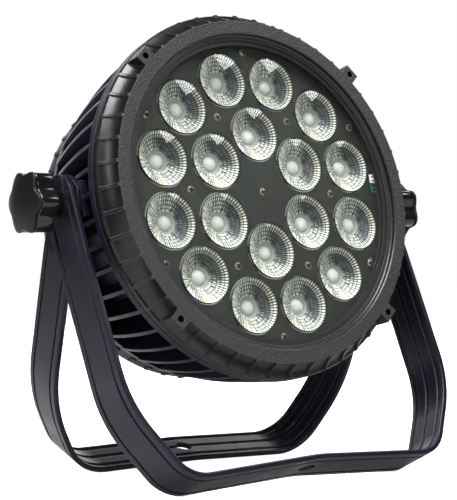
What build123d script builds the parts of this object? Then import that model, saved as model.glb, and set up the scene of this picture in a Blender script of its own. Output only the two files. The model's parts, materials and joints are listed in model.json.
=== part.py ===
from build123d import *
import math
import os

os.makedirs("parts", exist_ok=True)

# All lengths in millimetres. The lamp head is drawn in its own frame: +Z is the beam axis,
# +Y is up, +X runs along the pivot axis, and z = 0 is the face of the lens plate.

# Pose the stand is stored in, degrees
HEAD_TILT = 13.5
FRONT_LEAN = 26.4
REAR_LEAN = 17.81

# Head
PIVOT_Z = -34.5
RIB_COUNT = 48
RIB_STEP = 360 / RIB_COUNT
LUG_ANGLES = (45, 135, 225, 315)
RIM_R = 113.9
FACE_R = 106.3
FACE_Z = 9.5
BEZEL_BACK_Z = -6.0
LIP_Z = 5.0
LIP_R = 95.0
POCKET_R = 98.8
GLASS_R = 96.9
GLASS_Z = 1.7
GLASS_THICKNESS = 2.8
PLATE_R = 98.4
PLATE_THICKNESS = 2.0
FLANGE_FRONT_Z = -7.5
FLANGE_BACK_Z = -12.0
DECK_FRONT_Z = -20.6
DECK_BACK_Z = -26.0
CAVITY_R = 81.0
FIN_THICKNESS = 2.4
HOUSING_BACK_Z = -84.5
COVER_FRONT_Z = -85.5
COVER_BACK_Z = -108.0
COVER_WALL = 3.0
BEZEL_BOLT_R = 109.8
BEZEL_SCREW_SEAT_Z = 2.0
COVER_BOLT_R = 89.5
COVER_BOLT_ANGLES = (30, 90, 150, 210, 270, 330)
COVER_SCREW_SEAT_Z = -90.0

# Optics
LENS_R = 17.4
LENS_RINGS = ((36.5, 6, 0.0), (72.0, 12, 15.0))
LENS_FLANGE_R = 18.0
LENS_FOOT_R = 6.5
WELL_R = 5.0
WELL_Z = -8.5
WELL_DOME_Z = -5.5
PLATE_SCREW_RINGS = ((0.0, 1, 0.0), (52.9, 6, 30.0), (89.0, 6, 0.0))
POST_R = 3.0
BOARD_R = 96.0
BOARD_THICKNESS = 1.6
BOARD_FRONT_Z = DECK_FRONT_Z + BOARD_THICKNESS
NOTCH_X = 87.6
NOTCH_Y = (1.8, 14.6)
CONNECTOR_X = (88.2, 94.0)

# Stand
STRAP_WIDTH = 31.3
STRAP_THICKNESS = 3.4
STRAP_TOP = 16.6
PIVOT_BORE_R = 4.4
CLAMP_HOLE_R = 5.25
FRONT_LEG_X = 120.1
REAR_LEG_X = 116.1
YOKE_GAP = FRONT_LEG_X - REAR_LEG_X - STRAP_THICKNESS

# Knobs
STUD_R = 4.0
KNOB_LOBES = 6
KNOB_LOBE_R = 18.8
KNOB_SIDE_R = 16.9
KNOB_VALLEY_R = 15.0
LEFT_KNOB_TURN = 0.0
RIGHT_KNOB_TURN = 35.0
KNOB_WASHER_THICKNESS = 1.5
KNOB_NECK_R = 10.0
KNOB_NECK_LENGTH = 7.5
GRIP_END = 18.7
CAP_LENGTH = 4.5
CAP_DOME_R = 61.0
BOSS_FACE_X = 113.4

# Rear panel
PANEL_Y = 24.0
PANEL_THICKNESS = 2.0
BUTTON_X = (-30.0, -10.0, 10.0, 30.0)
BUTTON_Y = 12.0
BUTTON_R = 4.0
SOCKET_Y = -32.0
SOCKET_X = (-48.0, -16.0, 16.0, 48.0)
SOCKET_R = 11.7
SOCKET_BORE_R = 10.0
SOCKET_FLANGE = 2.5
SOCKET_MOUTH_Z = -123.0
SOCKET_FLOOR_Z = -98.0
CONTACT_TIP_Z = -112.5
EYE_Y = 66.0


def polar(radius, angle):
    """Point at an angle measured from up towards +X."""
    turn = math.radians(angle)
    return radius * math.sin(turn), radius * math.cos(turn)


def ring_places(radius, count, start):
    """Evenly spaced points on a circle, start measured from up."""
    return [polar(radius, start + 360 / count * i) for i in range(count)]


def turned(edges):
    """Solid of revolution about the beam axis from a closed chain of (radius, height) edges."""
    return revolve(Plane.XZ * make_face(edges), Axis.Z)


def turned_polygon(*points):
    """Solid of revolution about the beam axis from (radius, height) corners."""
    return turned(Polyline(*points, close=True))


def tube(outer_r, inner_r, low_z, high_z):
    """Plain ring between two heights."""
    return turned_polygon((inner_r, low_z), (outer_r, low_z), (outer_r, high_z), (inner_r, high_z))


def rod(radius, low_z, high_z, x=0.0, y=0.0):
    """Cylinder along the beam axis between two heights."""
    return Pos(x, y, (low_z + high_z) / 2) * Cylinder(radius, abs(high_z - low_z))


def block(x_range, y_range, z_range):
    """Box given by its limits."""
    centre = [sum(limits) / 2 for limits in (x_range, y_range, z_range)]
    size = [abs(limits[1] - limits[0]) for limits in (x_range, y_range, z_range)]
    return Pos(*centre) * Box(*size)


def radial_plate(edges, thickness):
    """Plate standing on the +X side in the plane of the beam axis."""
    return extrude(Plane.XZ * make_face(edges), amount=thickness / 2, both=True)


def round_about(shape, angles):
    """Copies of a +X side shape at the given angles."""
    return [Rot(0, 0, angle) * shape for angle in angles]


def x_rod(radius, low_x, high_x, y=0.0, z=PIVOT_Z):
    """Cylinder along the pivot axis."""
    return Pos((low_x + high_x) / 2, y, z) * Rot(0, 90, 0) * Cylinder(radius, abs(high_x - low_x))


def plain_rib_angles():
    """Rib angles that carry no lug."""
    every = [RIB_STEP * i for i in range(RIB_COUNT)]
    return [angle for angle in every if angle not in LUG_ANGLES]


def make_bezel():
    """Front ring with a flared, ribbed rim and four screw lugs."""
    flare = ThreePointArc((FACE_R, FACE_Z), (108.9, 2.9), (113.2, -1.6))
    outline = [
        flare,
        Polyline(
            (113.2, -1.6),
            (RIM_R, -3.2),
            (RIM_R, BEZEL_BACK_Z),
            (POCKET_R, BEZEL_BACK_Z),
            (POCKET_R, LIP_Z),
            (LIP_R, LIP_Z),
            (LIP_R, LIP_Z + 1.0),
            (97.3, LIP_Z + 1.0),
            (97.9, LIP_Z + 1.6),
            (97.9, FACE_Z - 0.6),
            (98.5, FACE_Z),
            (FACE_R, FACE_Z),
        ),
    ]
    body = turned(outline)
    rib_edges = [
        ThreePointArc((FACE_R + 1.0, FACE_Z - 0.4), (109.9, 3.6), (RIM_R, -1.2)),
        Polyline((RIM_R, -1.2), (RIM_R, -4.0), (106, -4.0), (104, FACE_Z - 0.4), (FACE_R + 1.0, FACE_Z - 0.4)),
    ]
    rib = radial_plate(rib_edges, 1.9)
    lug = block((102, RIM_R - 0.4), (-5, 5), (BEZEL_BACK_Z, FACE_Z))
    body = body.fuse(*round_about(rib, plain_rib_angles()), *round_about(lug, LUG_ANGLES))
    for x, y in ring_places(BEZEL_BOLT_R, 4, 45):
        body -= rod(2.1, BEZEL_SCREW_SEAT_Z, FACE_Z + 1, x, y)
        body -= rod(1.5, BEZEL_BACK_Z - 1, BEZEL_SCREW_SEAT_Z, x, y)
    return body


def make_glass_gasket():
    """Channel ring that grips the edge of the front glass."""
    glass_back = GLASS_Z
    glass_front = GLASS_Z + GLASS_THICKNESS
    return turned_polygon(
        (92.0, 0.0),
        (98.6, 0.0),
        (98.6, LIP_Z),
        (92.0, LIP_Z),
        (92.0, glass_front),
        (GLASS_R, glass_front),
        (GLASS_R, glass_back),
        (92.0, glass_back),
    )


def make_lens_plate():
    """Dark plate that holds the lenses, notched at one side for the connectors."""
    plate = rod(PLATE_R, -PLATE_THICKNESS, 0)
    for radius, count, start in LENS_RINGS:
        for x, y in ring_places(radius, count, start):
            plate -= rod(LENS_R + 0.3, -PLATE_THICKNESS - 1, 1, x, y)
    for radius, count, start in PLATE_SCREW_RINGS:
        for x, y in ring_places(radius, count, start):
            plate -= rod(1.7, -PLATE_THICKNESS - 1, 1, x, y)
    return plate - block((NOTCH_X, PLATE_R + 1), NOTCH_Y, (-PLATE_THICKNESS - 1, 1))


def dome_arc(radius, edge_z, top_z):
    """Arc of a sphere centred on the axis, from its rim to its top."""
    height = top_z - edge_z
    sphere_r = (radius**2 + height**2) / (2 * height)
    half_way = radius / 2
    half_way_z = top_z - sphere_r + math.sqrt(sphere_r**2 - half_way**2)
    return ThreePointArc((radius, edge_z), (half_way, half_way_z), (0, top_z))


def make_lens():
    """Collimating lens: flat top with a central well, tapered body and a hollow foot."""
    outline = [
        Polyline(
            (0, -13.8),
            (3.6, -13.8),
            (3.6, -17.0),
            (LENS_FOOT_R, -17.0),
            (LENS_FOOT_R, -14.4),
        ),
        ThreePointArc((LENS_FOOT_R, -14.4), (13.4, -9.6), (17.0, -4.5)),
        Polyline(
            (17.0, -4.5),
            (LENS_FLANGE_R, -4.5),
            (LENS_FLANGE_R, -PLATE_THICKNESS),
            (LENS_R, -PLATE_THICKNESS),
            (LENS_R, 0.8),
            (6.0, 0.8),
            (WELL_R, WELL_Z),
        ),
        dome_arc(WELL_R, WELL_Z, WELL_DOME_Z),
        Line((0, WELL_DOME_Z), (0, -13.8)),
    ]
    return turned(outline)


def make_lens_holders():
    """Short collars that locate the lens feet on the board."""
    collar = tube(8.5, LENS_FOOT_R, BOARD_FRONT_Z, -14.5)
    return [Pos(x, y, 0) * collar for x, y in all_lens_places()]


def make_emitters():
    """Square light-emitting packages with a small dome each."""
    package = block((-3.5, 3.5), (-3.5, 3.5), (BOARD_FRONT_Z, BOARD_FRONT_Z + 1.0))
    dome = Pos(0, 0, BOARD_FRONT_Z + 0.8) * Sphere(2.6)
    emitter = package + (dome & block((-4, 4), (-4, 4), (BOARD_FRONT_Z + 0.5, 0)))
    return [Pos(x, y, 0) * emitter for x, y in all_lens_places()]


def all_lens_places():
    """Centres of every lens, inner ring first."""
    return [place for ring in LENS_RINGS for place in ring_places(*ring)]


def all_plate_screw_places():
    """Centres of every lens plate screw."""
    return [place for ring in PLATE_SCREW_RINGS for place in ring_places(*ring)]


def make_led_board():
    """Round metal-core board, pierced by the screw posts."""
    board = rod(BOARD_R, DECK_FRONT_Z, BOARD_FRONT_Z)
    for x, y in all_plate_screw_places():
        board -= rod(POST_R + 0.3, DECK_FRONT_Z - 1, BOARD_FRONT_Z + 1, x, y)
    return board


def make_board_connector():
    """White plug housing standing on the board behind the notch."""
    body = block(CONNECTOR_X, (8.6, 13.8), (BOARD_FRONT_Z, -0.4))
    for y in (9.9, 12.4):
        body -= block((CONNECTOR_X[0] + 1.2, CONNECTOR_X[1] - 1.2), (y - 0.8, y + 0.8), (-5.4, 1.0))
    return body


def make_terminal_block():
    """Green screw terminal next to the white plug."""
    body = block(CONNECTOR_X, (2.2, 8.2), (BOARD_FRONT_Z, -1.0))
    for y in (3.8, 6.6):
        body -= rod(1.1, -4.0, 1.0, sum(CONNECTOR_X) / 2, y)
    return body


def screw(head_r, head_height, shank_r, length):
    """Cross-head screw standing on z = 0 with its shank going down."""
    head = rod(head_r, 0, head_height)
    head = chamfer(head.edges().filter_by(GeomType.CIRCLE).sort_by(Axis.Z)[-1:], head_height * 0.4)
    slot = block((-head_r * 0.6, head_r * 0.6), (-0.35, 0.35), (head_height * 0.45, head_height + 1))
    return head + rod(shank_r, -length, 0) - slot - Rot(0, 0, 90) * slot


def make_plate_screws():
    """Small cross-head screws over the lens plate."""
    one = screw(2.2, 1.2, 1.5, 9.0)
    return [Pos(x, y, 0) * one for x, y in all_plate_screw_places()]


def make_bezel_screws():
    """Slim screws sunk in the bezel lugs, which reach into the housing flange."""
    one = screw(2.0, 3.0, 1.25, 13.5)
    return [Pos(x, y, BEZEL_SCREW_SEAT_Z) * one for x, y in ring_places(BEZEL_BOLT_R, 4, 45)]


def make_cover_screws():
    """Screws that hold the rear cover to the housing."""
    one = screw(3.4, 2.6, 2.0, 20.0)
    places = [polar(COVER_BOLT_R, angle) for angle in COVER_BOLT_ANGLES]
    return [Pos(x, y, COVER_SCREW_SEAT_Z) * Rot(180, 0, 0) * one for x, y in places]


def make_heatsink_housing():
    """Cast housing: flange, board deck, tapered core, deep fins and pivot bosses."""
    core = turned_polygon(
        (0, DECK_FRONT_Z),
        (POCKET_R, DECK_FRONT_Z),
        (POCKET_R, FLANGE_FRONT_Z),
        (RIM_R - 0.2, FLANGE_FRONT_Z),
        (RIM_R - 0.2, FLANGE_BACK_Z),
        (102.5, FLANGE_BACK_Z),
        (102.5, -23.0),
        (88.0, -40.0),
        (85.0, -79.0),
        (99.6, -79.0),
        (98.4, HOUSING_BACK_Z),
        (CAVITY_R, HOUSING_BACK_Z),
        (CAVITY_R, DECK_BACK_Z),
        (0, DECK_BACK_Z),
    )
    fin_edges = [
        ThreePointArc((113.0, FLANGE_BACK_Z), (107.9, -48.0), (98.6, -84.0)),
        Polyline(
            (98.6, -84.0),
            (83.5, -84.0),
            (83.5, -30.0),
            (100.5, -22.0),
            (100.5, -11.0),
            (113.0, -11.0),
            (113.0, FLANGE_BACK_Z),
        ),
    ]
    fin = radial_plate(fin_edges, FIN_THICKNESS)
    boss = block((83.0, BOSS_FACE_X), (-10.5, 10.5), (PIVOT_Z - 13, PIVOT_Z + 13))
    cover_boss = rod(4.5, -62.0, HOUSING_BACK_Z, COVER_BOLT_R)
    cover_bosses = round_about(cover_boss, [90 - angle for angle in COVER_BOLT_ANGLES])
    posts = [rod(POST_R, DECK_BACK_Z + 1, -PLATE_THICKNESS, x, y) for x, y in all_plate_screw_places()]
    fins = round_about(fin, [RIB_STEP * i for i in range(RIB_COUNT)])
    body = core.fuse(*fins, *round_about(boss, (0, 180)), *cover_bosses, *posts)
    cuts = [rod(1.5, -10.0, 0, x, y) for x, y in all_plate_screw_places()]
    cuts += [rod(1.3, FLANGE_BACK_Z, 0, x, y) for x, y in ring_places(BEZEL_BOLT_R, 4, 45)]
    cuts += [rod(2.0, -69.0, -86.0, *polar(COVER_BOLT_R, angle)) for angle in COVER_BOLT_ANGLES]
    cuts += [x_rod(STUD_R + 0.05, 94.0, 120.0), x_rod(STUD_R + 0.05, -120.0, -94.0)]
    return body.cut(*cuts)


def make_rear_cover():
    """Domed rear cover with rim nubs, screw pockets, panel openings and board posts."""
    shell = turned(
        [
            Polyline((96.2, COVER_FRONT_Z), (96.8, -88.0), (96.8, -94.0)),
            ThreePointArc((96.8, -94.0), (93.4, -103.4), (85.0, COVER_BACK_Z)),
            Polyline(
                (85.0, COVER_BACK_Z),
                (0, COVER_BACK_Z),
                (0, COVER_BACK_Z + COVER_WALL),
                (84.5, COVER_BACK_Z + COVER_WALL),
            ),
            ThreePointArc((84.5, COVER_BACK_Z + COVER_WALL), (91.2, -101.4), (94.0, -94.0)),
            Polyline((94.0, -94.0), (94.0, COVER_FRONT_Z), (96.2, COVER_FRONT_Z)),
        ]
    )
    nub = block((95.0, 97.8), (-1.4, 1.4), (-95.0, -89.0))
    bolt_boss = rod(5.2, -101.0, COVER_FRONT_Z, COVER_BOLT_R)
    posts = [rod(3.0, -105.5, -98.0, x, y) for x, y in control_board_post_places()]
    body = shell.fuse(
        *round_about(nub, [RIB_STEP * i for i in range(RIB_COUNT)]),
        *round_about(bolt_boss, [90 - angle for angle in COVER_BOLT_ANGLES]),
        *posts,
    )
    cuts = []
    for angle in COVER_BOLT_ANGLES:
        x, y = polar(COVER_BOLT_R, angle)
        cuts.append(rod(4.2, COVER_BACK_Z - 2, COVER_SCREW_SEAT_Z, x, y))
        cuts.append(rod(2.2, COVER_SCREW_SEAT_Z - 1, COVER_FRONT_Z + 1, x, y))
    cuts += [rod(BUTTON_R + 0.3, COVER_BACK_Z - 1, -104.0, x, BUTTON_Y) for x in BUTTON_X]
    cuts += [rod(12.0, COVER_BACK_Z - 1, -104.0, x, SOCKET_Y) for x in SOCKET_X]
    cuts.append(block((-21, 21), (PANEL_Y + 1, PANEL_Y + 17), (COVER_BACK_Z - 1, -104.0)))
    cuts.append(rod(STUD_R, COVER_BACK_Z - 1, -104.0, 0, EYE_Y))
    return body.cut(*cuts)


def control_board_post_places():
    """Centres of the four posts that carry the control board."""
    return [(x, y) for x in (-44.0, 44.0) for y in (2.0, 46.0)]


def make_control_panel():
    """Flat panel over the display and button openings."""
    low_z = COVER_BACK_Z - PANEL_THICKNESS
    panel = Pos(0, PANEL_Y, (low_z + COVER_BACK_Z) / 2) * Box(92, 46, PANEL_THICKNESS)
    panel = fillet(panel.edges().filter_by(Axis.Z), 5.0)
    panel -= block((-20, 20), (PANEL_Y + 2, PANEL_Y + 16), (low_z - 1, COVER_BACK_Z + 1))
    for x in BUTTON_X:
        panel -= rod(BUTTON_R + 0.3, low_z - 1, COVER_BACK_Z + 1, x, BUTTON_Y)
    return panel


def make_display_window():
    """Clear window of the display, stepped to sit in the panel and the cover."""
    face = block((-20, 20), (PANEL_Y + 2, PANEL_Y + 16), (COVER_BACK_Z - 1.6, COVER_BACK_Z))
    step = block((-20.8, 20.8), (PANEL_Y + 1.2, PANEL_Y + 16.8), (COVER_BACK_Z, COVER_BACK_Z + 1.5))
    return face + step


def make_control_board():
    """Board with a display module and one switch under each button."""
    board = block((-48, 48), (-2, 50), (-98.0, -96.4))
    module = block((-19, 19), (PANEL_Y + 2.5, PANEL_Y + 15.5), (-104.0, -98.0))
    switches = [block((x - 3, x + 3), (BUTTON_Y - 3, BUTTON_Y + 3), (-101.6, -98.0)) for x in BUTTON_X]
    return board.fuse(module, *switches)


def make_button(x):
    """Round push button with a retaining collar behind the cover."""
    cap = rod(BUTTON_R, COVER_BACK_Z - PANEL_THICKNESS - 1.6, -103.4, x, BUTTON_Y)
    cap = fillet(cap.edges().filter_by(GeomType.CIRCLE).sort_by(Axis.Z)[:1], 0.6)
    return cap + rod(BUTTON_R + 1.2, -104.8, -103.4, x, BUTTON_Y)


def make_power_supply():
    """Closed metal case of the power supply, fixed to the back of the deck."""
    case = block((-60, 60), (-42, 42), (DECK_BACK_Z - 34, DECK_BACK_Z))
    case = fillet(case.edges().filter_by(Axis.Z), 3.0)
    terminals = block((-50, -22), (-30, 30), (DECK_BACK_Z - 40, DECK_BACK_Z - 34))
    return case + terminals


def socket_shell(x):
    """Square-flanged round panel socket with a standing collar, open to the rear."""
    low_z = COVER_BACK_Z - SOCKET_FLANGE
    flange = Pos(x, SOCKET_Y, (low_z + COVER_BACK_Z) / 2) * Box(26, 31, SOCKET_FLANGE)
    flange = fillet(flange.edges().filter_by(Axis.Z), 3.0)
    collar = rod(SOCKET_R, SOCKET_MOUTH_Z, low_z, x, SOCKET_Y)
    collar = chamfer(collar.edges().filter_by(GeomType.CIRCLE).sort_by(Axis.Z)[:1], 0.6)
    rib = rod(SOCKET_R + 0.7, SOCKET_MOUTH_Z + 3.0, SOCKET_MOUTH_Z + 4.2, x, SOCKET_Y)
    body = rod(SOCKET_R, COVER_BACK_Z, SOCKET_FLOOR_Z + 2.0, x, SOCKET_Y)
    shell = flange.fuse(collar, rib, body)
    return shell - rod(SOCKET_BORE_R, SOCKET_MOUTH_Z - 1, SOCKET_FLOOR_Z, x, SOCKET_Y)


def contact_root_z():
    """Height inside the socket floor where its contacts start."""
    return SOCKET_FLOOR_Z + 0.5


def make_pin_socket(x):
    """Round socket with three contact pins."""
    places = ring_places(4.5, 3, 60)
    pins = [rod(1.2, CONTACT_TIP_Z, contact_root_z(), x + dx, SOCKET_Y + dy) for dx, dy in places]
    return socket_shell(x).fuse(*pins)


def make_hole_socket(x):
    """Round socket with a central insert pierced by three contact holes."""
    insert = rod(7.0, CONTACT_TIP_Z, contact_root_z(), x, SOCKET_Y)
    for dx, dy in ring_places(4.0, 3, 60):
        insert -= rod(1.2, CONTACT_TIP_Z - 1, CONTACT_TIP_Z + 8, x + dx, SOCKET_Y + dy)
    return socket_shell(x) + insert


def make_power_socket(x, contact_width):
    """Round keyed power socket with three flat contacts."""
    half_width = contact_width / 2
    contacts = [
        block(
            (x + dx - half_width, x + dx + half_width),
            (SOCKET_Y + dy - 1.0, SOCKET_Y + dy + 1.0),
            (CONTACT_TIP_Z, contact_root_z()),
        )
        for dx, dy in ring_places(5.0, 3, 0)
    ]
    key = block((x - 1.5, x + 1.5), (SOCKET_Y - 10.5, SOCKET_Y - 8.6), (CONTACT_TIP_Z, contact_root_z()))
    return socket_shell(x).fuse(*contacts, key)


def make_safety_eye():
    """Eye for a safety cable, screwed into the rear cover."""
    eye_z = COVER_BACK_Z - 3 - 11
    eye = Pos(0, EYE_Y, eye_z) * Rot(0, 90, 0) * (Cylinder(12, 7) - Cylinder(6.5, 9))
    collar = rod(8.0, COVER_BACK_Z - 3, COVER_BACK_Z, 0, EYE_Y)
    return eye + collar + rod(STUD_R, COVER_BACK_Z, -103.0, 0, EYE_Y)


def strap_section():
    """Extruded strap section: two grooves outside, three shallow channels inside."""
    section = RectangleRounded(STRAP_WIDTH, STRAP_THICKNESS, 0.9)
    for y in (-10.4, 10.4):
        section -= Pos(y, STRAP_THICKNESS / 2) * Rectangle(2.2, 2.0)
    for y in (-11.4, 0.0, 11.4):
        section -= Pos(y, -STRAP_THICKNESS / 2) * Rectangle(4.2, 1.4)
    return section


def make_yoke(leg_x, straight, bend, corner, middle, bend_r, corner_r):
    """U-shaped strap hanging from the pivot, with rounded ends, pivot bores and a clamp hole."""
    half = [(leg_x, STRAP_TOP), (leg_x, -straight), bend, corner]
    other_half = [(-x, z) for x, z in reversed(half)]
    points = [(x, 0, z) for x, z in half + [(0, middle)] + other_half]
    path = Polyline(*points).wire()
    corners = {leg_x: 60.0, bend[0]: bend_r, corner[0]: corner_r, 0: 120.0}
    for x, radius in corners.items():
        chosen = [v for v in path.vertices() if abs(abs(v.X) - x) < 1e-6 and v.Z < STRAP_TOP - 1]
        path = path.fillet_2d(radius, chosen)
    start = Plane(origin=(leg_x, 0, STRAP_TOP), x_dir=(0, 1, 0), z_dir=(0, 0, -1))
    strap = sweep(start * strap_section(), path)
    end_r = STRAP_WIDTH / 2
    mask = block((-150, 150), (-end_r, end_r), (-250, STRAP_TOP - end_r))
    mask += Pos(0, 0, STRAP_TOP - end_r) * Rot(0, 90, 0) * Cylinder(end_r, 300)
    strap &= mask
    strap -= Rot(0, 90, 0) * Cylinder(PIVOT_BORE_R, 300)
    strap -= Pos(0, 0, middle) * Cylinder(CLAMP_HOLE_R, 20)
    return strap


def star(turn, low_z, high_z, grow=0.0):
    """Six-lobed prism along the beam axis, its first lobe at the given angle."""
    step = 360 / KNOB_LOBES
    arcs = []
    for lobe in range(KNOB_LOBES):
        for reach, middle in ((KNOB_LOBE_R, turn + lobe * step), (KNOB_VALLEY_R, turn + (lobe + 0.5) * step)):
            start = polar(KNOB_SIDE_R + grow, middle - step / 4)
            end = polar(KNOB_SIDE_R + grow, middle + step / 4)
            arcs.append(ThreePointArc(start, polar(reach + grow, middle), end))
    return Pos(0, 0, low_z) * extrude(make_face(arcs), high_z - low_z)


def make_grip(turn):
    """Star grip of a clamp knob on a round neck, standing on z = 0."""
    grip = star(turn, KNOB_NECK_LENGTH, GRIP_END) + rod(KNOB_NECK_R, 0, KNOB_NECK_LENGTH)
    return grip - rod(STUD_R, -1, GRIP_END + 1)


def make_knob_cap(turn):
    """Domed end cap of a clamp knob, on the end of the grip."""
    top = GRIP_END + CAP_LENGTH
    cap = star(turn, GRIP_END, top, 0.4)
    return cap & (Pos(0, 0, top - CAP_DOME_R) * Sphere(CAP_DOME_R))


def side_places():
    """Name, direction and knob angle of the two ends of the pivot axis."""
    return (("left", -1, LEFT_KNOB_TURN), ("right", 1, RIGHT_KNOB_TURN))


def on_side(shape, side, distance):
    """Places a shape built along +Z on one end of the pivot axis, pointing outward."""
    return Pos(side * distance, 0, 0) * Rot(0, side * 90, 0) * shape


def build():
    """Every node with its solids, in a frame whose origin is on the pivot axis."""
    head = {}
    head["bezel"] = [make_bezel()]
    head["front_glass"] = [rod(GLASS_R, GLASS_Z, GLASS_Z + GLASS_THICKNESS)]
    head["glass_gasket"] = [make_glass_gasket()]
    head["lens_plate"] = [make_lens_plate()]
    lens = make_lens()
    for number, (x, y) in enumerate(all_lens_places(), start=1):
        head[f"lens_{number:02d}"] = [Pos(x, y, 0) * lens]
    head["lens_holders"] = make_lens_holders()
    head["led_emitters"] = make_emitters()
    head["led_board"] = [make_led_board()]
    head["board_connector"] = [make_board_connector()]
    head["terminal_block"] = [make_terminal_block()]
    head["plate_screws"] = make_plate_screws()
    head["heatsink_housing"] = [make_heatsink_housing()]
    head["housing_gasket"] = [tube(112.6, POCKET_R, FLANGE_FRONT_Z, BEZEL_BACK_Z) - gasket_holes()]
    head["bezel_screws"] = make_bezel_screws()
    head["rear_gasket"] = [rear_gasket()]
    head["rear_cover"] = [make_rear_cover()]
    head["cover_screws"] = make_cover_screws()
    head["power_supply"] = [make_power_supply()]
    head["control_board"] = [make_control_board()]
    head["control_panel"] = [make_control_panel()]
    head["display_window"] = [make_display_window()]
    for number, x in enumerate(BUTTON_X, start=1):
        head[f"button_{number}"] = [make_button(x)]
    head["power_inlet"] = [make_power_socket(SOCKET_X[0], 4.0)]
    head["power_outlet"] = [make_power_socket(SOCKET_X[1], 3.0)]
    head["data_inlet"] = [make_pin_socket(SOCKET_X[2])]
    head["data_outlet"] = [make_hole_socket(SOCKET_X[3])]
    head["safety_eye"] = [make_safety_eye()]

    tilt = Rot(90 - HEAD_TILT, 0, 0) * Pos(0, 0, -PIVOT_Z)
    nodes = {name: [tilt * solid for solid in solids] for name, solids in head.items()}

    front = make_yoke(FRONT_LEG_X, 38, (118.2, -129.5), (91.2, -173.8), -169.1, 73, 22.6)
    rear = make_yoke(REAR_LEG_X, 30, (112.4, -119.7), (85.5, -165.5), -163.2, 90, 32)
    nodes["front_yoke"] = [Rot(-FRONT_LEAN, 0, 0) * front]
    nodes["rear_yoke"] = [Rot(REAR_LEAN, 0, 0) * rear]

    rear_inner_x = REAR_LEG_X - STRAP_THICKNESS / 2
    rear_outer_x = REAR_LEG_X + STRAP_THICKNESS / 2
    front_outer_x = FRONT_LEG_X + STRAP_THICKNESS / 2
    head_spacer = tube(9.0, PIVOT_BORE_R, 0, rear_inner_x - BOSS_FACE_X)
    yoke_spacer = tube(9.0, PIVOT_BORE_R, 0, YOKE_GAP)
    knob_washer = tube(10.0, PIVOT_BORE_R, 0, KNOB_WASHER_THICKNESS)
    knob_base_x = front_outer_x + KNOB_WASHER_THICKNESS
    stud = rod(STUD_R, 98.0 - knob_base_x, GRIP_END)
    nodes["head_spacers"] = [on_side(head_spacer, side, BOSS_FACE_X) for side in (-1, 1)]
    nodes["yoke_spacers"] = [on_side(yoke_spacer, side, rear_outer_x) for side in (-1, 1)]
    for name, side, turn in side_places():
        nodes[f"{name}_knob_washer"] = [on_side(knob_washer, side, front_outer_x)]
        nodes[f"{name}_stud"] = [on_side(stud, side, knob_base_x)]
        nodes[f"{name}_knob_grip"] = [on_side(make_grip(turn), side, knob_base_x)]
        nodes[f"{name}_knob_cap"] = [on_side(make_knob_cap(turn), side, knob_base_x)]
    return nodes


def gasket_holes():
    """Clearance holes of the housing gasket."""
    holes = [rod(1.7, -10, 0, x, y) for x, y in ring_places(BEZEL_BOLT_R, 4, 45)]
    return holes[0].fuse(*holes[1:])


def rear_gasket():
    """Seal between the housing and the rear cover."""
    seal = tube(94.0, 83.0, COVER_FRONT_Z, HOUSING_BACK_Z)
    for angle in COVER_BOLT_ANGLES:
        seal -= rod(2.2, COVER_FRONT_Z - 1, HOUSING_BACK_Z + 1, *polar(COVER_BOLT_R, angle))
    return seal


def stand_on_floor(nodes):
    """Moves everything so the base's centre is the origin."""
    boxes = [solid.bounding_box() for solids in nodes.values() for solid in solids]
    low_y = min(box.min.Y for box in boxes)
    high_y = max(box.max.Y for box in boxes)
    low_z = min(box.min.Z for box in boxes)
    shift = Pos(0, -(low_y + high_y) / 2, -low_z)
    print("pivot axis at y", round(-(low_y + high_y) / 2, 3), "z", round(-low_z, 3))
    return {name: [shift * solid for solid in solids] for name, solids in nodes.items()}


for node, solids in stand_on_floor(build()).items():
    shape = solids[0] if len(solids) == 1 else Compound(children=solids)
    export_step(shape, f"parts/{node}.step")
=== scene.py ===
import json
import math

import bpy
from mathutils import Matrix, Vector


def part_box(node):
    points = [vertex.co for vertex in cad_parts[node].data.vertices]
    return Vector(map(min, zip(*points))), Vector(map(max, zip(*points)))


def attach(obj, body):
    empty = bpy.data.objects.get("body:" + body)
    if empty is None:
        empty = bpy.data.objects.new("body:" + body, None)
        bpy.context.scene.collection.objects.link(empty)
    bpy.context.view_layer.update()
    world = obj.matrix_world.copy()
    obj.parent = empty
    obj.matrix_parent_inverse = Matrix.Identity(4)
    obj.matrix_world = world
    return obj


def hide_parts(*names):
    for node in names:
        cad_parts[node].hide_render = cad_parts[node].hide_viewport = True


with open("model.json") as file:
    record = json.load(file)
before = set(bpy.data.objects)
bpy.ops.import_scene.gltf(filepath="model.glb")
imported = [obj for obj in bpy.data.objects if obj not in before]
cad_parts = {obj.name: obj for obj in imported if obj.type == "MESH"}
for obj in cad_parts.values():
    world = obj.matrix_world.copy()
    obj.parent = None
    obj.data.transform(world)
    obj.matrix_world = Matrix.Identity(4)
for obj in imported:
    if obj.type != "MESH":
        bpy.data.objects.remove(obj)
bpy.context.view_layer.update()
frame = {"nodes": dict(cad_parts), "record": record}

# Sizes are in millimetres and angles in degrees, apart from the stage's and the materials' sizes
# in metres. POLE_R is the radius of the smallest ring at a closed shape's middle.
MM = 0.001
POLE_R = 0.02

# The head's own frame, as in the CAD source: +Z along the beam, +Y up, z = 0 on the lens plate.
# Each ring of places on it is (radius, count, angle of the first one from up).
HEAD_TILT = 13.5
PIVOT_BEHIND_PLATE = 34.5
LENS_RINGS = ((36.5, 6, 0.0), (72.0, 12, 15.0))
PLATE_SCREW_RINGS = ((0.0, 1, 0.0), (52.9, 6, 30.0), (89.0, 6, 0.0))

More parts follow.
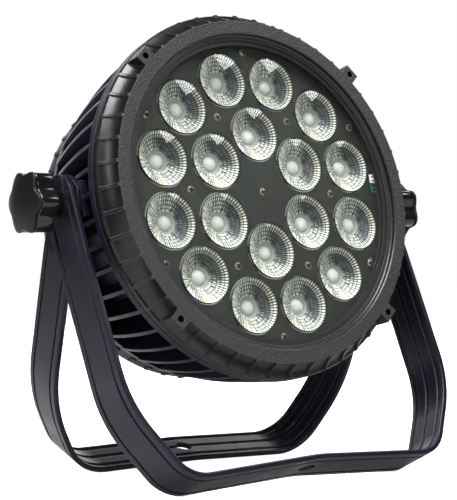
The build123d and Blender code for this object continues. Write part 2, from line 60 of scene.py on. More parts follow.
# A lens: clear face, dark rim, fluted flank, frosted cone and dome. A face's material is a place in
# LENS_MATERIALS. Each lens is turned on its axis by LENS_TWIST times the sine of LENS_TWIST_STEP
# times its number, both in radians.
LENS_MATERIALS = ["lens_clear", "lens_flank", "lens_frost", "lens_dome", "holder_plastic"]
CLEAR, FLANK, FROST, DOME, RIM = range(5)
LENS_R = 16.9
LENS_FACE_Z = 0.8
LENS_RIM_FOOT_Z = -0.4
LENS_CHAMFER = 0.4
LENS_CHAMFER_DROP = 0.2
LENS_TWIST = 0.45
LENS_TWIST_STEP = 2.4

# The flank's beads: LENS_BEADS flutes round the lens and LENS_ROWS rows from its rim to its foot.
LENS_BEADS = 56
LENS_ROWS = 5
SAMPLES_PER_BEAD = 4
SAMPLES_PER_ROW = 3
FLUTE_DEPTH = 0.3
ROW_DEPTH = 0.15
FLANK_RIM_R = 16.6
FLANK_FOOT_R = 5.9
FLANK_RIM_Z = -0.5
FLANK_HEIGHT = 8.6
FLANK_CURVE = 1.25
FLANK_ROW_WIDTH = (FLANK_RIM_R - FLANK_FOOT_R) / LENS_ROWS

# The cone's rings are (radius, height).
DOME_R = 4.0
DOME_BASE_Z = -12.0
DOME_HEIGHT = 3.2
DOME_STEPS = 8
CONE_RINGS = ((5.6, -9.6), (4.7, DOME_BASE_Z))

# A plate screw's head, and the (radius, height) rings of the countersink round it, which is painted
# dark as shade, as is the cross recess. A face's material is a place in SCREW_MATERIALS.
SCREW_MATERIALS = ["screw_bronze", "screw_hollow"]
BRONZE, HOLLOW_SHADE = range(2)
SCREW_SECTORS = 48
SCREW_HEAD_R = 2.3
SCREW_HEAD_TOP = 0.75
SCREW_HEAD_DROP = 0.6
SCREW_RING_STEP = 0.1
CROSS_HALF_WIDTH = 0.5
CROSS_REACH = 1.75
CROSS_DEPTH = 0.8
COUNTERSINK_RINGS = ((2.35, -0.3), (2.5, -0.3), (2.6, 0.06), (3.0, 0.06), (3.05, -0.1))
FIRST_SCREW_TWIST = 20
SCREW_TWIST_STEP = 37

# A clamp knob, measured from its foot: neck, lobed grip and domed cap.
KNOB_SAMPLES = 144
KNOB_LOBES = 6
KNOB_MIDDLE_R = 16.9
KNOB_LOBE_DEPTH = 1.9
KNOB_NECK_R = 10.0
KNOB_NECK_LENGTH = 7.5
NECK_CHAMFER = 0.4
NECK_FLARE = 0.8
STUD_HOLE_R = 4.1
GRIP_END = 18.7
GRIP_EDGE_R = 0.9
CAP_TOP = 23.2
CAP_DOME_R = 61.0

# The cap's foot is (height above the grip, inset) rings, its rim (drop below the dome, inset) rings,
# and its dome rings are the outline at these scales.
CAP_FOOT_RINGS = ((0.0, 0.2), (0.2, -0.4))
CAP_RIM_RINGS = ((0.5, -0.4), (0.15, -0.25))
CAP_DOME_INSET = 0.1
CAP_DOME_SCALES = (1.0, 0.93, 0.8, 0.6, 0.4, 0.2, 0.01)

# Softboxes: name, place, point aimed at, size and power in watts. The one in HIDDEN_SOFTBOX stands
# behind the lamp, so it's hidden from the camera.
SOFTBOXES = (
    ("overhead_softbox", (-0.5, -0.28, 1.6), (0, 0, 0.15), (0.9, 0.8), 44),
    ("left_softbox", (-1.4, -0.1, 0.9), (0, 0, 0.2), (0.3, 0.8), 5),
    ("front_softbox", (-0.35, -1.7, 0.55), (0, 0, 0.12), (0.9, 0.5), 8),
    ("right_softbox", (0.8, -0.45, 1.15), (-0.1, 0, 0.16), (0.5, 0.4), 7),
    ("back_softbox", (0.9, 1.4, 0.45), (0, 0, 0.1), (2.4, 1.2), 14),
)
HIDDEN_SOFTBOX = "back_softbox"
FLOOR_HALF = 6.0
CAMERA_PLACE = (-0.53966, -0.75008, 0.13651)
CAMERA_PITCH = 90.57
CAMERA_YAW = -35.85
CAMERA_LENS = 105.9
CAMERA_SENSOR = 36
CAMERA_SHIFT = (0.0124, -0.0292)


def pivot_point():
    """Middle of the pivot axis, from the left stud's box."""
    low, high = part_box("left_stud")
    return Vector((0, (low[1] + high[1]) / 2, (low[2] + high[2]) / 2))


PIVOT = pivot_point()
HEAD = (
    Matrix.Translation(PIVOT)
    @ Matrix.Rotation(math.radians(90 - HEAD_TILT), 4, "X")
    @ Matrix.Translation((0, 0, PIVOT_BEHIND_PLATE * MM))
)


def polar(radius, angle):
    """Point at an angle measured from up towards +X, in millimetres."""
    turn = math.radians(angle)
    return radius * math.sin(turn), radius * math.cos(turn)


def ring_places(radius, count, start):
    """Evenly spaced points on a circle, start measured from up."""
    return [polar(radius, start + 360 / count * i) for i in range(count)]


# ---------------------------------------------------------------- materials


class Nodes:
    """A new material's node tree, with short ways to add the usual nodes."""

    def __init__(self, name):
        self.material = bpy.data.materials.new(name)
        self.material.use_nodes = True
        self.tree = self.material.node_tree
        self.tree.nodes.clear()
        self.shader = self.tree.nodes.new("ShaderNodeBsdfPrincipled")
        output = self.tree.nodes.new("ShaderNodeOutputMaterial")
        self.link(self.shader.outputs["BSDF"], output.inputs["Surface"])
        self.position = self.tree.nodes.new("ShaderNodeTexCoord").outputs["Object"]
        self.rounded = None

    def link(self, source, target):
        """Joins two sockets."""
        self.tree.links.new(source, target)

    def feed(self, name, source):
        """Drives one of the shader's own sockets."""
        self.link(source, self.shader.inputs[name])

    def set(self, **values):
        """Sets the shader's own sockets; underscores stand for spaces."""
        for name, value in values.items():
            self.shader.inputs[name.replace("_", " ")].default_value = value

    def noise(self, scale, detail=3.0, stretch=None):
        """Noise in object space, scale in cycles per metre."""
        node = self.tree.nodes.new("ShaderNodeTexNoise")
        node.inputs["Scale"].default_value = scale
        node.inputs["Detail"].default_value = detail
        place = self.position
        if stretch is not None:
            mapping = self.tree.nodes.new("ShaderNodeMapping")
            mapping.inputs["Scale"].default_value = stretch
            self.link(self.position, mapping.inputs["Vector"])
            place = mapping.outputs["Vector"]
        self.link(place, node.inputs["Vector"])
        return node.outputs["Fac"]

    def polar_noise(self, angle, reach, turns, rings):
        """Noise over an angle and a radius, for streaks that run outward."""
        place = self.tree.nodes.new("ShaderNodeCombineXYZ")
        self.link(self.math("MULTIPLY", angle, turns), place.inputs[0])
        self.link(self.math("MULTIPLY", reach, rings), place.inputs[1])
        node = self.tree.nodes.new("ShaderNodeTexNoise")
        node.inputs["Scale"].default_value = 1.0
        node.inputs["Detail"].default_value = 2.0
        self.link(place.outputs[0], node.inputs["Vector"])
        return node.outputs["Fac"]

    def ramp(self, value, low, high, from_min=0.3, from_max=0.7):
        """Remaps a value to run from low to high; the usual input limits suit a noise."""
        node = self.tree.nodes.new("ShaderNodeMapRange")
        node.inputs["From Min"].default_value = from_min
        node.inputs["From Max"].default_value = from_max
        node.inputs["To Min"].default_value = low
        node.inputs["To Max"].default_value = high
        self.link(value, node.inputs["Value"])
        return node.outputs["Result"]

    def mix(self, amount, first, second):
        """Blends two colours, each a socket or an RGB tuple."""
        node = self.tree.nodes.new("ShaderNodeMix")
        node.data_type = "RGBA"
        self.link(amount, node.inputs[0])
        for socket, colour in ((node.inputs[6], first), (node.inputs[7], second)):
            if isinstance(colour, tuple):
                socket.default_value = (*colour, 1.0)
            else:
                self.link(colour, socket)
        return node.outputs[2]

    def edges(self, radius, gain):
        """Gain along convex and concave edges, 0 on flats; the edges also shade as rounded."""
        bevel = self.tree.nodes.new("ShaderNodeBevel")
        bevel.samples = 4
        bevel.inputs["Radius"].default_value = radius
        geometry = self.tree.nodes.new("ShaderNodeNewGeometry")
        dot = self.tree.nodes.new("ShaderNodeVectorMath")
        dot.operation = "DOT_PRODUCT"
        self.rounded = bevel.outputs["Normal"]
        self.link(self.rounded, dot.inputs[0])
        self.link(geometry.outputs["Normal"], dot.inputs[1])
        return self.ramp(dot.outputs["Value"], gain, 0.0, from_min=0.72, from_max=0.985)

    def math(self, operation, first, second=None):
        """One math node; each input is a socket or a number."""
        node = self.tree.nodes.new("ShaderNodeMath")
        node.operation = operation
        for socket, value in zip(node.inputs, (first, second)):
            if isinstance(value, (int, float)):
                socket.default_value = value
            elif value is not None:
                self.link(value, socket)
        return node.outputs[0]

    def bump(self, height, distance):
        """Bumps the shader's normal by a height socket."""
        node = self.tree.nodes.new("ShaderNodeBump")
        node.inputs["Distance"].default_value = distance
        self.link(height, node.inputs["Height"])
        if self.rounded is not None:
            self.link(self.rounded, node.inputs["Normal"])
        self.link(node.outputs["Normal"], self.shader.inputs["Normal"])


# Grain depths and edge radii are in metres.
FINE_GRAIN = 0.00002
CAST_GRAIN = 0.0001
BEZEL_GRAIN = 0.0009
COAT_EDGE_R = 0.0007
BEZEL_EDGE_R = 0.0006
# Grey metal that edges lighten to: partly worn paint, partly a painted highlight.
WORN_METAL_AND_HIGHLIGHT = (0.14, 0.14, 0.145)
COOL = (0.8, 0.79, 1.0)


def coated_metal(name, dark, light, roughness, grain, depth, gloss=0.5, sheen=(1, 1, 1), wear_and_highlight=0.5):
    """Powder coat or satin paint over metal, lighter along its edges: partly worn thin there, partly a
    painted highlight.
    """
    n = Nodes(name)
    base = n.mix(n.ramp(n.noise(18, 4), 0.0, 1.0), dark, light)
    # Convex and concave edges lighten: partly worn paint, partly a painted highlight.
    if wear_and_highlight > 0.0:
        base = n.mix(n.edges(COAT_EDGE_R, wear_and_highlight), base, WORN_METAL_AND_HIGHLIGHT)
    n.feed("Base Color", base)
    n.feed("Roughness", n.ramp(n.noise(60, 3), roughness - 0.06, roughness + 0.06))
    n.bump(n.noise(grain, 2), depth)
    n.set(Specular_IOR_Level=gloss, Specular_Tint=(*sheen, 1.0))
    return n.material


def bezel_coat(name):
    """Satin coat on the bezel's ribbed side, lighter and grained on its flat face."""
    n = Nodes(name)
    facing = n.tree.nodes.new("ShaderNodeVectorMath")
    facing.operation = "DOT_PRODUCT"
    n.link(n.tree.nodes.new("ShaderNodeTexCoord").outputs["Normal"], facing.inputs[0])
    facing.inputs[1].default_value = HEAD.to_3x3() @ Vector((0, 0, 1))
    face = n.ramp(facing.outputs["Value"], 0.0, 1.0, from_min=0.9, from_max=0.98)
    base = n.mix(face, (0.0032, 0.0032, 0.0042), (0.021, 0.021, 0.021))
    # The rib edges lighten the same way: partly worn paint, partly a painted highlight.
    n.feed("Base Color", n.mix(n.edges(BEZEL_EDGE_R, 0.8), base, WORN_METAL_AND_HIGHLIGHT))
    n.feed("Roughness", n.math("ADD", n.ramp(n.noise(60, 3), 0.3, 0.36), n.math("MULTIPLY", face, 0.2)))
    grain_amount = n.ramp(face, 0.1, 1.0, from_min=0.0, from_max=1.0)
    n.bump(n.math("MULTIPLY", n.noise(900, 2), grain_amount), BEZEL_GRAIN)
    return n.material


def plastic(name, dark, light, roughness, gloss=0.5):
    """Moulded plastic with slight tone and gloss variation."""
    n = Nodes(name)
    n.feed("Base Color", n.mix(n.ramp(n.noise(40, 3), 0.0, 1.0), dark, light))
    n.feed("Roughness", n.ramp(n.noise(90, 2), roughness - 0.04, roughness + 0.04))
    n.bump(n.noise(2500, 2), FINE_GRAIN)
    n.set(Specular_IOR_Level=gloss)
    return n.material


def plated_steel(name, dark, light, roughness):
    """Plated steel with fine scratches."""
    n = Nodes(name)
    n.feed("Base Color", n.mix(n.ramp(n.noise(300, 3), 0.0, 1.0), dark, light))
    n.feed("Roughness", n.ramp(n.noise(500, 3), roughness - 0.08, roughness + 0.08))
    n.bump(n.noise(3000, 2), FINE_GRAIN)
    n.set(Metallic=0.9)
    return n.material


def clear_glass(name, tint, roughness, ior):
    """Clear glass or acrylic, with faint smears."""
    n = Nodes(name)
    n.set(Base_Color=(*tint, 1.0), Transmission_Weight=1.0, IOR=ior)
    smears = n.noise(25, 4, stretch=(1.0, 1.0, 0.25))
    n.feed("Roughness", n.ramp(smears, roughness, roughness + 0.02))
    return n.material


def flank_beads(n, angle, reach):
    """Brightness of the beads, a painted reflection: flutes round the lens, crossed by rows from rim to
    foot.
    """
    flute_turn = n.math("MULTIPLY", angle, LENS_BEADS / 2)
    inward = n.math("SUBTRACT", reach, FLANK_FOOT_R * MM)
    row_turn = n.math("MULTIPLY", inward, math.pi / (FLANK_ROW_WIDTH * MM))
    flutes = n.math("ABSOLUTE", n.math("SINE", flute_turn))
    rows = n.math("ABSOLUTE", n.math("SINE", row_turn))
    bright_flutes = n.ramp(flutes, 0.0, 1.0, from_min=0.4, from_max=0.85)
    bright_rows = n.ramp(rows, 0.2, 1.0, from_min=0.2, from_max=0.65)
    return n.math("MULTIPLY", bright_flutes, bright_rows)


def fluted_flank(name):
    """Flank of a lens seen from inside, its colour painted light: painted reflections as bright beads
    in rows with dark gaps, painted tints, a painted glow and painted shade.
    """
    n = Nodes(name)
    parts = n.tree.nodes.new("ShaderNodeSeparateXYZ")
    n.link(n.position, parts.inputs[0])
    x, y = parts.outputs["X"], parts.outputs["Y"]
    angle = n.math("ARCTAN2", y, x)
    reach = n.math("SQRT", n.math("ADD", n.math("MULTIPLY", x, x), n.math("MULTIPLY", y, y)))
    side = n.math("ADD", n.math("MULTIPLY", x, 0.9), n.math("MULTIPLY", y, 0.4))

    # Painted reflections: beads show where a fine noise lets them, and more of them towards the rim.
    streaks = n.ramp(n.polar_noise(angle, reach, 22.0, 190.0), 0.0, 1.0, from_min=0.43, from_max=0.53)
    outward = n.ramp(reach, 0.0, 0.65, from_min=0.009, from_max=0.014)
    beads = n.math("MULTIPLY", flank_beads(n, angle, reach), n.math("MAXIMUM", streaks, outward))

    # Painted light: the lower left glows in blots. Painted shade: the upper right is dark inside its
    # rim.
    blots = n.ramp(n.polar_noise(angle, reach, 16.0, 110.0), 0.0, 1.0, from_min=0.48, from_max=0.58)
    painted_glow = n.math("MULTIPLY", n.ramp(side, 1.0, 0.0, from_min=-0.011, from_max=0.001), blots)
    right = n.ramp(side, 0.0, 1.0, from_min=0.003, from_max=0.007)
    inside = n.ramp(reach, 1.0, 0.0, from_min=0.0125, from_max=0.0145)
    painted_shade = n.ramp(n.math("MULTIPLY", right, inside), 1.0, 0.15, from_min=0.0, from_max=1.0)
    light = n.math("MAXIMUM", n.math("MULTIPLY", beads, painted_shade), painted_glow)

    # Painted tints: the painted light turns white or gold over the flank's dark navy.
    gold = n.ramp(n.noise(170, 1), 0.0, 1.0, from_min=0.57, from_max=0.67)
    tint = n.mix(gold, (0.97, 1.0, 0.91), (1.0, 0.8, 0.42))
    n.feed("Base Color", n.mix(light, (0.014, 0.018, 0.028), tint))
    n.feed("Roughness", n.ramp(n.noise(900, 2), 0.42, 0.5))
    n.set(Metallic=0.3)
    return n.material


# Arguments of coated_metal.
COATS = {
    "housing_paint": dict(
        dark=(0.006, 0.0052, 0.0135),
        light=(0.011, 0.0098, 0.022),
        roughness=0.4,
        grain=1500,
        depth=CAST_GRAIN,
        sheen=COOL,
    ),
    "cover_paint": dict(
        dark=(0.008, 0.0075, 0.012),
        light=(0.013, 0.0125, 0.018),
        roughness=0.42,
        grain=1500,
        depth=CAST_GRAIN,
        sheen=COOL,
    ),
    "yoke_anodised": dict(
        dark=(0.0046, 0.0044, 0.009),
        light=(0.008, 0.0076, 0.0145),
        roughness=0.3,
        grain=2600,
        depth=FINE_GRAIN,
        gloss=0.4,
        sheen=COOL,
    ),
    "plate_paint": dict(
        dark=(0.0058, 0.0068, 0.0056),
        light=(0.0085, 0.0098, 0.008),
        roughness=0.6,
        grain=2400,
        depth=FINE_GRAIN,
        gloss=0.35,
        sheen=(0.95, 1, 0.93),
        wear_and_highlight=0.0,
    ),
}

# Dark tone, light tone, roughness and, for the cap, gloss.
PLASTICS = {
    "gasket_rubber": ((0.008, 0.008, 0.008), (0.013, 0.013, 0.013), 0.6),
    "holder_plastic": ((0.01, 0.01, 0.011), (0.016, 0.016, 0.017), 0.6),
    "board_white": ((0.5, 0.5, 0.48), (0.62, 0.62, 0.6), 0.5),
    "emitter": ((0.55, 0.5, 0.32), (0.7, 0.62, 0.38), 0.3),
    "connector_white": ((0.72, 0.72, 0.68), (0.8, 0.8, 0.77), 0.45),
    "terminal_green": ((0.008, 0.1, 0.075), (0.015, 0.14, 0.1), 0.4),
    "driver_case": ((0.2, 0.2, 0.21), (0.26, 0.26, 0.27), 0.5),
    "board_green": ((0.01, 0.09, 0.04), (0.02, 0.13, 0.06), 0.4),
    "panel_plastic": ((0.016, 0.016, 0.018), (0.024, 0.024, 0.026), 0.5),
    "button_plastic": ((0.012, 0.012, 0.013), (0.018, 0.018, 0.02), 0.25),
    "power_blue": ((0.02, 0.07, 0.28), (0.03, 0.1, 0.36), 0.4),
    "power_grey": ((0.3, 0.31, 0.33), (0.36, 0.37, 0.39), 0.45),
    "socket_black": ((0.012, 0.012, 0.012), (0.02, 0.02, 0.02), 0.45),
    "spacer_nylon": ((0.01, 0.01, 0.01), (0.016, 0.016, 0.016), 0.5),
    "knob_gloss": ((0.004, 0.004, 0.005), (0.007, 0.007, 0.008), 0.1),
    "knob_cap_matte": ((0.004, 0.004, 0.0055), (0.007, 0.007, 0.0085), 0.4, 0.3),
    # Painted shade: near black for the screws' cross recesses and countersink rings.
    "screw_hollow": ((0.004, 0.004, 0.004), (0.008, 0.008, 0.008), 0.6),
    "lens_frost": ((0.2, 0.22, 0.19), (0.3, 0.33, 0.29), 0.4),
    "lens_dome": ((0.48, 0.51, 0.49), (0.56, 0.59, 0.57), 0.12),
}

# Dark tone, light tone and roughness.
STEELS = {
    "screw_bronze": ((0.15, 0.128, 0.088), (0.32, 0.275, 0.195), 0.4),
    "screw_black": ((0.03, 0.03, 0.03), (0.06, 0.06, 0.06), 0.4),
    "eye_steel": ((0.5, 0.5, 0.5), (0.62, 0.62, 0.62), 0.35),
    "washer_steel": ((0.03, 0.03, 0.032), (0.05, 0.05, 0.053), 0.35),
    "stud_steel": ((0.4, 0.4, 0.42), (0.55, 0.55, 0.57), 0.35),
}

# Tint, roughness and index of refraction.
GLASSES = {
    "front_glass": ((0.97, 0.99, 0.98), 0.0, 1.35),
    "display_clear": ((0.2, 0.22, 0.22), 0.02, 1.45),
    "lens_clear": ((0.98, 1.0, 0.99), 0.0, 1.49),
}

MATERIALS = {
    "bezel_paint": bezel_coat("bezel_paint"),
    "lens_flank": fluted_flank("lens_flank"),
    **{name: coated_metal(name, **look) for name, look in COATS.items()},
    **{name: plastic(name, *look) for name, look in PLASTICS.items()},
    **{name: plated_steel(name, *look) for name, look in STEELS.items()},
    **{name: clear_glass(name, *look) for name, look in GLASSES.items()},
}


def finish_cad_nodes():
    """Gives every CAD node the procedural material of its slot."""
    for subpart in frame["record"]["subparts"]:
        node = frame["nodes"][subpart["node"]]
        for slot in node.material_slots:
            slot.material = MATERIALS[subpart["material_slot"]]
    frame["nodes"]["front_glass"].visible_shadow = False


# ------------------------------------------------------------------- meshes


def new_object(name, vertices, faces, materials, face_materials=None, smooth=True):
    """Mesh object from millimetre vertices."""
    mesh = bpy.data.meshes.new(name)
    mesh.from_pydata([(x * MM, y * MM, z * MM) for x, y, z in vertices], [], faces)
    for material in materials:
        mesh.materials.append(MATERIALS[material])
    if face_materials is not None:
        mesh.polygons.foreach_set("material_index", face_materials)
    mesh.polygons.foreach_set("use_smooth", [smooth] * len(faces))
    mesh.update()
    obj = bpy.data.objects.new(name, mesh)
    bpy.context.scene.collection.objects.link(obj)
    return obj


def lathe_grid(rings, count):
    """Faces of stacked closed rings of the same vertex count."""
    faces = []
    for ring in range(rings - 1):
        for i in range(count):
            j = (i + 1) % count
            a, b = ring * count, (ring + 1) * count
            faces.append((a + i, a + j, b + j, b + i))
    return faces


def flank_point(t):
    """(radius, height) of the lens flank, t from 0 at the rim to 1 at the foot."""
    radius = FLANK_RIM_R + (FLANK_FOOT_R - FLANK_RIM_R) * t
    height = FLANK_RIM_Z - FLANK_HEIGHT * (1 - (1 - t) ** FLANK_CURVE)
    return radius, height


def flank_normal(t):
    """Outward (radius, height) unit normal of the flank."""
    step = 0.01
    r0, z0 = flank_point(max(t - step, 0))
    r1, z1 = flank_point(min(t + step, 1))
    return Vector((-(z1 - z0), r1 - r0)).normalized()


def bead(u):
    """Rounded bead profile: 0 at both ends of each unit, 1 in its middle."""
    x = 2 * (u % 1.0) - 1
    return 1 - x * x


def lens_mesh():
    """Vertices, faces and face materials of a lens: flat face, fluted flank, cone and dome."""
    count = LENS_BEADS * SAMPLES_PER_BEAD
    rows = LENS_ROWS * SAMPLES_PER_ROW
    front = [
        (POLE_R, LENS_FACE_Z),
        (LENS_R - LENS_CHAMFER, LENS_FACE_Z),
        (LENS_R, LENS_FACE_Z - LENS_CHAMFER_DROP),
        (LENS_R, LENS_RIM_FOOT_Z),
    ]
    rings = [[ring] * count for ring in front]
    for row in range(rows + 1):
        t = row / rows
        radius, height = flank_point(t)
        normal = flank_normal(t)
        swell = ROW_DEPTH * bead(row / SAMPLES_PER_ROW)
        ring = []
        for i in range(count):
            depth = swell + FLUTE_DEPTH * bead(i / SAMPLES_PER_BEAD)
            ring.append((radius + normal[0] * depth, height + normal[1] * depth))
        rings.append(ring)
    rings += [[ring] * count for ring in CONE_RINGS]
    quarter = [i * math.pi / 2 / DOME_STEPS for i in range(DOME_STEPS, -1, -1)]
    dome = [(DOME_R * math.sin(a) + POLE_R, DOME_BASE_Z + DOME_HEIGHT * math.cos(a)) for a in quarter]
    rings += [[ring] * count for ring in dome]
    vertices = []
    for ring in rings:
        for i, (r, z) in enumerate(ring):
            turn = 2 * math.pi * i / count
            vertices.append((r * math.cos(turn), r * math.sin(turn), z))
    faces = [face[::-1] for face in lathe_grid(len(rings), count)]
    bands = [CLEAR] + [RIM] * 3 + [FLANK] * rows + [FROST] * 3 + [DOME] * DOME_STEPS
    return vertices, faces, [band for band in bands for _ in range(count)]


def build_lenses():
    """Every lens as a piece of its own, on one shared mesh."""
    vertices, faces, face_materials = lens_mesh()
    lens = new_object("optic_01", vertices, faces, LENS_MATERIALS, face_materials)
    mesh = lens.data
    places = [place for ring in LENS_RINGS for place in ring_places(*ring)]
    for number, (x, y) in enumerate(places, start=1):
        if number > 1:
            lens = bpy.data.objects.new(f"optic_{number:02d}", mesh)
            bpy.context.scene.collection.objects.link(lens)
        centre = Matrix.Translation((x * MM, y * MM, 0))
        twist = LENS_TWIST * math.sin(LENS_TWIST_STEP * number)
        lens.matrix_world = HEAD @ centre @ Matrix.Rotation(twist, 4, "Z")
        lens.visible_shadow = False
        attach(lens, "head")
        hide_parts(f"lens_{number:02d}")


def sector_angles():
    """Angles of a screw head's mesh sectors, in radians."""
    return [2 * math.pi * i / SCREW_SECTORS for i in range(SCREW_SECTORS)]


def in_cross(radius, angle):
    """True inside the cross recess of a screw head."""
    x, y = radius * math.cos(angle), radius * math.sin(angle)
    return min(abs(x), abs(y)) < CROSS_HALF_WIDTH and math.hypot(x, y) < CROSS_REACH


def screw_head_point(radius, angle):
    """(radius, height) of a screw head's face, domed and with its recess."""
    dome = SCREW_HEAD_TOP - SCREW_HEAD_DROP * (radius / SCREW_HEAD_R) ** 2
    return radius, dome - (CROSS_DEPTH if in_cross(radius, angle) else 0.0)


def screw_head_rings():
    """Rings of a screw head and of the countersink round it, and each face's material; the cross recess
    and the countersink are painted dark as shade.
    """
    angles = sector_angles()
    head_rings = round(SCREW_HEAD_R / SCREW_RING_STEP)
    radii = [POLE_R] + [SCREW_RING_STEP * i for i in range(1, head_rings + 1)]
    rings = [[screw_head_point(radius, angle) for angle in angles] for radius in radii]
    face_materials = [HOLLOW_SHADE if in_cross(r, a) else BRONZE for r in radii[:-1] for a in angles]
    for ring in COUNTERSINK_RINGS:
        rings.append([ring] * SCREW_SECTORS)
        face_materials += [HOLLOW_SHADE] * SCREW_SECTORS
    return rings, face_materials


def build_plate_screws():
    """Cross-head screws of the lens plate, each in a countersink ring painted dark as shade."""
    rings, one_face_materials = screw_head_rings()
    one_faces = lathe_grid(len(rings), SCREW_SECTORS)
    vertices, faces, face_materials = [], [], []
    for screw_ring in PLATE_SCREW_RINGS:
        for number, (cx, cy) in enumerate(ring_places(*screw_ring)):
            start = len(vertices)
            twist = math.radians(FIRST_SCREW_TWIST + SCREW_TWIST_STEP * number)
            for ring in rings:
                for (r, z), angle in zip(ring, sector_angles()):
                    turn = angle + twist
                    vertices.append((cx + r * math.cos(turn), cy + r * math.sin(turn), z))
            faces += [tuple(start + i for i in face) for face in one_faces]
            face_materials += one_face_materials
    heads = new_object(
        "plate_screw_heads", vertices, faces, SCREW_MATERIALS, face_materials, smooth=False
    )
    heads.matrix_world = HEAD
    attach(heads, "head")
    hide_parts("plate_screws")


def star_ring(turn, height, inset=0.0, scale=1.0):
    """One ring of the lobed outline; height is a number or a function of the radius."""
    ring = []
    for i in range(KNOB_SAMPLES):
        angle = 2 * math.pi * i / KNOB_SAMPLES
        lobe = math.cos(KNOB_LOBES * (angle - math.radians(turn)))
        radius = (KNOB_MIDDLE_R + KNOB_LOBE_DEPTH * lobe - inset) * scale
        z = height(radius) if callable(height) else height
        ring.append((radius * math.cos(angle), radius * math.sin(angle), z))
    return ring


def round_ring(radius, height):
    """One round ring with as many vertices as the star's."""
    turns = [2 * math.pi * i / KNOB_SAMPLES for i in range(KNOB_SAMPLES)]
    return [(radius * math.cos(turn), radius * math.sin(turn), height) for turn in turns]


def loft(name, rings, material):
    """Object from stacked rings of the same vertex count."""
    vertices = [vertex for ring in rings for vertex in ring]
    return new_object(name, vertices, lathe_grid(len(rings), len(rings[0])), [material])


def rounded_rings(turn, low, high, edge):
    """Lobed side between two heights with both edges rounded."""
    steps = [math.radians(a) for a in (0, 22.5, 45, 67.5, 90)]
    profile = [(edge * (1 - math.sin(a)), edge * (1 - math.cos(a))) for a in steps]
    lower = [star_ring(turn, low + rise, inset) for rise, inset in reversed(profile)]
    upper = [star_ring(turn, high - drop, inset) for drop, inset in profile]
    return lower + upper


def cap_height(radius):
    """Height of the domed cap at a radius."""
    return CAP_TOP - CAP_DOME_R + math.sqrt(CAP_DOME_R**2 - radius**2)


def knob_grip_rings(turn):
    """Rings of the neck and the lobed grip."""
    neck = [
        round_ring(STUD_HOLE_R, 0.0),
        round_ring(KNOB_NECK_R - NECK_CHAMFER, 0.0),
        round_ring(KNOB_NECK_R, NECK_CHAMFER),
        round_ring(KNOB_NECK_R, KNOB_NECK_LENGTH - NECK_FLARE),
        round_ring(KNOB_NECK_R + NECK_FLARE, KNOB_NECK_LENGTH),
    ]
    body = rounded_rings(turn, KNOB_NECK_LENGTH, GRIP_END, GRIP_EDGE_R)
    return neck + body + [round_ring(STUD_HOLE_R, GRIP_END)]


def knob_cap_rings(turn):
    """Rings of the cap: foot, rounded rim and dome."""
    foot = [star_ring(turn, GRIP_END + rise, inset) for rise, inset in CAP_FOOT_RINGS]
    rim = [star_ring(turn, lambda r: cap_height(r) - drop, inset) for drop, inset in CAP_RIM_RINGS]
    dome = [star_ring(turn, cap_height, CAP_DOME_INSET, scale) for scale in CAP_DOME_SCALES]
    return foot + rim + dome


def build_knob(side_name, side, turn):
    """Star grip and domed cap of one clamp knob, its first lobe at the given angle."""
    low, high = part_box(f"{side_name}_knob_grip")
    base = Vector((low[0] if side > 0 else high[0], PIVOT.y, PIVOT.z))
    place = Matrix.Translation(base) @ Matrix.Rotation(side * math.pi / 2, 4, "Y")
    grip = loft(f"{side_name}_grip", knob_grip_rings(turn), "knob_gloss")
    cap = loft(f"{side_name}_cap", knob_cap_rings(turn), "knob_cap_matte")
    for piece, node in ((grip, "knob_grip"), (cap, "knob_cap")):
        piece.matrix_world = place
        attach(piece, f"{side_name}_knob")
        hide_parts(f"{side_name}_{node}")


# -------------------------------------------------------------------- stage


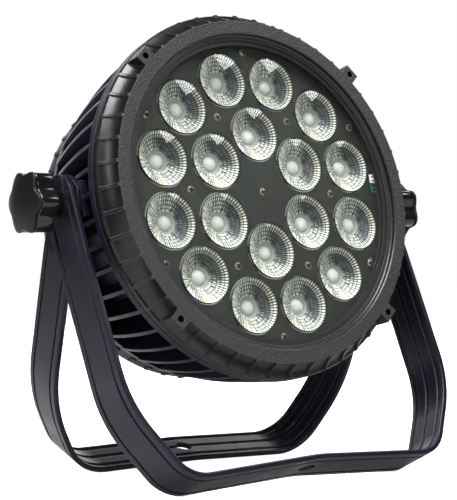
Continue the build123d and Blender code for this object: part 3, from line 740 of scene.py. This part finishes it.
def add_floor():
    """Pale floor, darker and less bright to the lamp than to the camera."""
    floor = Nodes("floor")
    floor.set(Roughness=0.9, Emission_Color=(1, 1, 1, 1))
    seen = floor.tree.nodes.new("ShaderNodeLightPath").outputs["Is Camera Ray"]
    pale = floor.mix(floor.noise(3), (0.9, 0.9, 0.9), (0.93, 0.93, 0.93))
    floor.feed("Base Color", floor.mix(seen, (0.5, 0.5, 0.5), pale))
    floor.feed("Emission Strength", floor.ramp(seen, 0.16, 0.93, from_min=0.0, from_max=1.0))
    mesh = bpy.data.meshes.new("floor")
    corners = [(-1, -1), (1, -1), (1, 1), (-1, 1)]
    mesh.from_pydata([(x * FLOOR_HALF, y * FLOOR_HALF, 0) for x, y in corners], [], [(0, 1, 2, 3)])
    mesh.materials.append(floor.material)
    obj = bpy.data.objects.new("floor", mesh)
    bpy.context.scene.collection.objects.link(obj)


def add_surroundings():
    """White surroundings to the camera, nearly black as a light."""
    world = bpy.data.worlds.new("studio")
    world.use_nodes = True
    background = world.node_tree.nodes["Background"]
    background.inputs["Color"].default_value = (1, 1, 1, 1)
    path = world.node_tree.nodes.new("ShaderNodeLightPath")
    strength = world.node_tree.nodes.new("ShaderNodeMapRange")
    strength.inputs["To Min"].default_value = 0.06
    world.node_tree.links.new(path.outputs["Is Camera Ray"], strength.inputs["Value"])
    world.node_tree.links.new(strength.outputs["Result"], background.inputs["Strength"])
    bpy.context.scene.world = world


def add_softbox(name, place, target, size, power):
    """Rectangular studio light aimed at a point."""
    data = bpy.data.lights.new(name, "AREA")
    data.shape = "RECTANGLE"
    data.size, data.size_y = size
    data.energy = power
    light = bpy.data.objects.new(name, data)
    light.location = place
    light.rotation_euler = (Vector(target) - Vector(place)).to_track_quat("-Z", "Y").to_euler()
    light.visible_camera = name != HIDDEN_SOFTBOX
    bpy.context.scene.collection.objects.link(light)


def add_camera():
    """Camera at the photo's angle; the Standard transform leaves the colours as lit."""
    camera_data = bpy.data.cameras.new("camera")
    camera_data.lens = CAMERA_LENS
    camera_data.sensor_width = CAMERA_SENSOR
    camera_data.shift_x, camera_data.shift_y = CAMERA_SHIFT
    camera = bpy.data.objects.new("camera", camera_data)
    camera.location = CAMERA_PLACE
    camera.rotation_euler = (math.radians(CAMERA_PITCH), 0, math.radians(CAMERA_YAW))
    bpy.context.scene.collection.objects.link(camera)
    bpy.context.scene.camera = camera
    bpy.context.scene.view_settings.view_transform = "Standard"


finish_cad_nodes()
build_lenses()
build_plate_screws()
build_knob("left", -1, 90)
build_knob("right", 1, 55)
add_floor()
add_surroundings()
for softbox in SOFTBOXES:
    add_softbox(*softbox)
add_camera()
